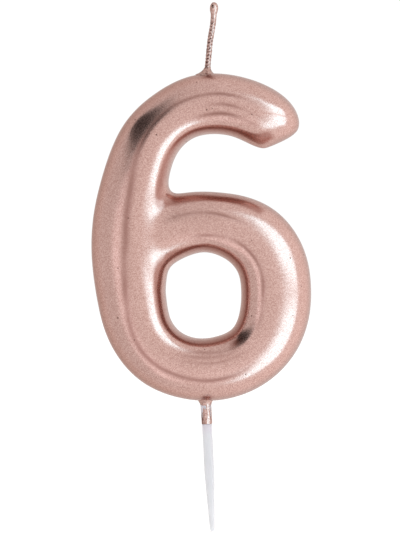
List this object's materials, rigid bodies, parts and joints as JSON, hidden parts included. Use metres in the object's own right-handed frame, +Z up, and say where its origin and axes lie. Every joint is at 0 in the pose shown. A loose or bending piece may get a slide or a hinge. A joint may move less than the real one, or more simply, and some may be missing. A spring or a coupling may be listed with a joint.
{
  "type": "number birthday candle",
  "caption": "Puffed numeral-six birthday candle of lacquered wax on a round plastic cake pick, with a stiff wick at the top.",
  "frame": {"origin": "on the cake pick's axis where the lacquer ends, level with the cake's top surface once the pick is pushed in; the pick reaches 26 mm below it and the candle 103 mm above it", "axes": "+Z up along the numeral's height, +X to the right of a viewer who reads the numeral as a six, +Y away from that viewer, through the numeral's thickness"},
  "size_m": [0.0543, 0.0148, 0.1296],
  "materials": {
    "wax": "paraffin wax, cast, sealed under the lacquer",
    "metallic_lacquer": "satin rose-gold metallic lacquer with fine flake",
    "wick_cotton": "braided cotton, waxed",
    "pick_plastic": "milky translucent moulded plastic"
  },
  "bodies": {
    "root": {"wax_body": "wax", "body_lacquer": "metallic_lacquer", "wick": "wick_cotton", "wick_lacquer": "metallic_lacquer", "cake_pick": "pick_plastic", "pick_lacquer": "metallic_lacquer"}
  },
  "joints": []
}
